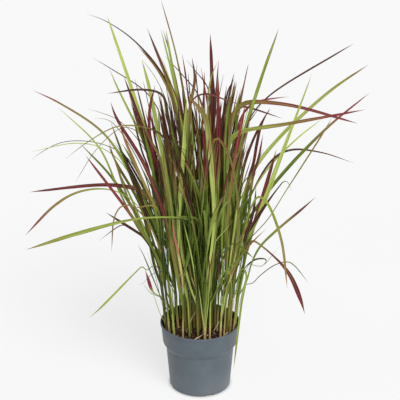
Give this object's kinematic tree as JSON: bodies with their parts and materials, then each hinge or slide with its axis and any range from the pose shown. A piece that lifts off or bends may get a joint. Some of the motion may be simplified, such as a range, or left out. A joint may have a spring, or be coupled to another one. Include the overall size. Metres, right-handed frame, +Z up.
{
  "type": "potted ornamental grass clump",
  "caption": "Clump of red-tipped ornamental grass in a round plastic nursery pot filled with soil; stands on the pot's flat foot.",
  "frame": {"origin": "middle of the pot's flat foot, on the ground", "axes": "+Z up along the pot's axis; -Y is the front of the clump"},
  "size_m": [0.715, 0.5366, 0.851],
  "materials": {
    "pot_plastic": "satin moulded polypropylene, blue-grey",
    "potting_soil": "moist crumbly peat-based potting soil",
    "lime_leaf": "living grass shoot, lime green, satin",
    "olive_leaf": "living grass shoot, olive green turning brown, satin",
    "wine_leaf": "living grass shoot, green at the foot turning wine red, satin",
    "dry_straw": "dry pale straw, matt"
  },
  "bodies": {
    "root": {"dry_straw_1": "dry_straw", "dry_straw_2": "dry_straw", "dry_straw_3": "dry_straw", "dry_straw_4": "dry_straw", "pot": "pot_plastic", "potting_soil": "potting_soil", "shoot_01": "wine_leaf", "shoot_02": "lime_leaf", "shoot_03": "olive_leaf", "shoot_04": "wine_leaf", "shoot_05": "olive_leaf", "shoot_06": "wine_leaf", "shoot_07": "wine_leaf", "shoot_08": "olive_leaf", "shoot_09": "lime_leaf", "shoot_10": "wine_leaf", "shoot_11": "lime_leaf", "shoot_12": "wine_leaf", "shoot_13": "lime_leaf", "shoot_14": "olive_leaf", "shoot_15": "wine_leaf", "shoot_16": "olive_leaf", "shoot_17": "wine_leaf", "shoot_18": "wine_leaf", "shoot_19": "olive_leaf", "shoot_20": "olive_leaf", "shoot_21": "olive_leaf", "shoot_22": "wine_leaf", "shoot_23": "lime_leaf", "shoot_24": "wine_leaf", "shoot_25": "wine_leaf", "shoot_26": "olive_leaf", "shoot_27": "lime_leaf", "shoot_28": "lime_leaf", "shoot_29": "wine_leaf", "shoot_30": "wine_leaf", "shoot_31": "olive_leaf", "shoot_32": "olive_leaf", "shoot_33": "wine_leaf", "shoot_34": "lime_leaf", "shoot_35": "wine_leaf", "shoot_36": "olive_leaf", "shoot_37": "olive_leaf", "shoot_38": "olive_leaf", "shoot_39": "lime_leaf", "shoot_40": "lime_leaf", "shoot_41": "wine_leaf", "shoot_42": "olive_leaf", "shoot_43": "olive_leaf", "shoot_44": "wine_leaf", "shoot_45": "lime_leaf", "shoot_46": "lime_leaf", "shoot_47": "wine_leaf", "shoot_48": "olive_leaf", "shoot_49": "olive_leaf", "shoot_50": "wine_leaf", "shoot_51": "lime_leaf", "shoot_52": "olive_leaf"}
  },
  "joints": []
}
